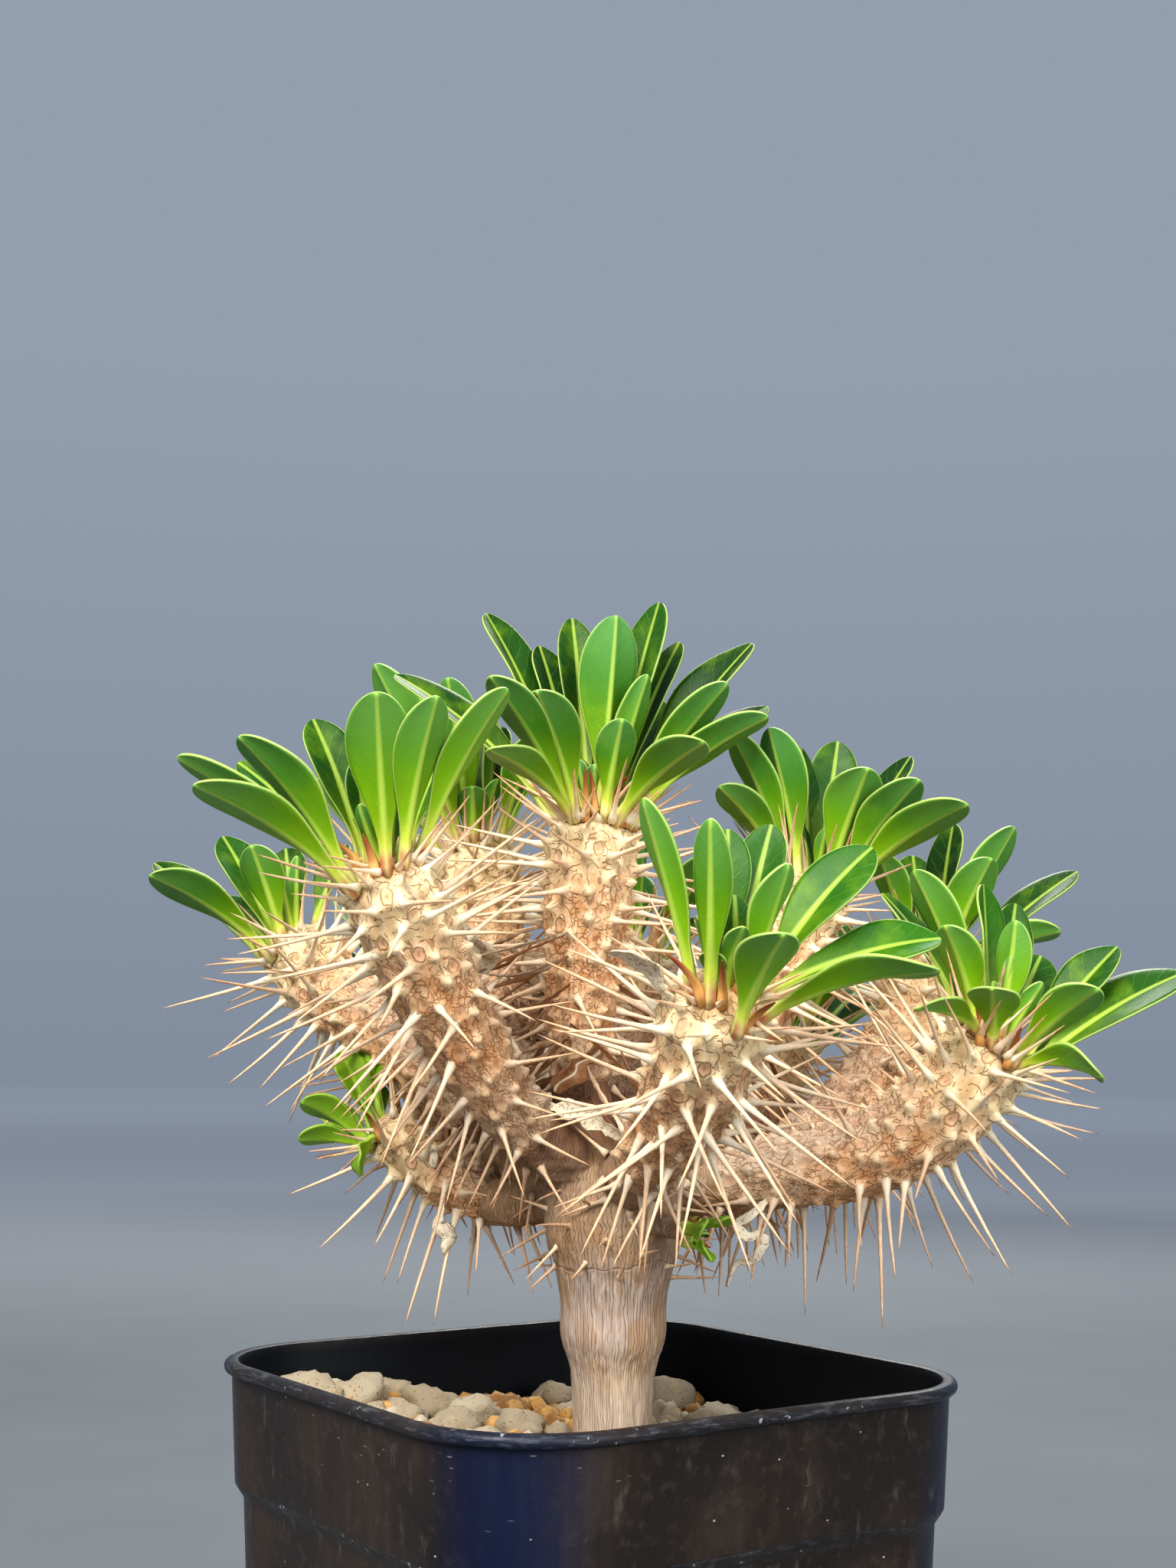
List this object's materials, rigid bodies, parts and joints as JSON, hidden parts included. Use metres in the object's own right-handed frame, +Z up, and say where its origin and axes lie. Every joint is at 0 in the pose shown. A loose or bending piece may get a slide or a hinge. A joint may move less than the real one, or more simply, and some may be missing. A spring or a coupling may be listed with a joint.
{
  "type": "potted euphorbia",
  "caption": "Thorny branching succulent with rosettes of spoon-shaped leaves on thick stems, growing from gravel in a square black plastic nursery pot with rounded corners.",
  "frame": {"origin": "middle of the pot's flat base", "axes": "+Z up along the pot's upright axis, X and Y along the pot's sides; the picture looks past a pot corner, along (0.57, 0.82, 0) and a little upwards"},
  "size_m": [0.1863, 0.1846, 0.25],
  "materials": {
    "pot_plastic": "black moulded plastic, slightly weathered and dusty, satin",
    "soil": "brown granular potting soil, dull",
    "gravel": "off-white pumice stones with orange-brown clay grains, dry and dull",
    "bark": "pale tan bark with fine upright fissures, dull",
    "thorny_stem": "ivory to orange-brown corky skin with straw-coloured thorns",
    "leaf": "fleshy green leaf, paler rib and margin, soft sheen"
  },
  "bodies": {
    "root": {"pot": "pot_plastic", "soil": "soil", "gravel": "gravel", "trunk": "bark", "branch_left_front": "thorny_stem", "branch_top": "thorny_stem", "branch_front": "thorny_stem", "branch_upper_right": "thorny_stem", "branch_right": "thorny_stem", "branch_right_back": "thorny_stem", "branch_left_back": "thorny_stem", "branch_upper_back": "thorny_stem", "branch_back_left": "thorny_stem", "branch_back": "thorny_stem", "branch_back_right": "thorny_stem", "branch_low_left": "thorny_stem", "rosette_left_front": "leaf", "rosette_top": "leaf", "rosette_front": "leaf", "rosette_upper_right": "leaf", "rosette_right": "leaf", "rosette_right_back": "leaf", "rosette_left_back": "leaf", "rosette_upper_back": "leaf", "rosette_back_left": "leaf", "rosette_back": "leaf", "rosette_back_right": "leaf", "rosette_low_left": "leaf", "rosette_bud": "leaf"}
  },
  "joints": []
}
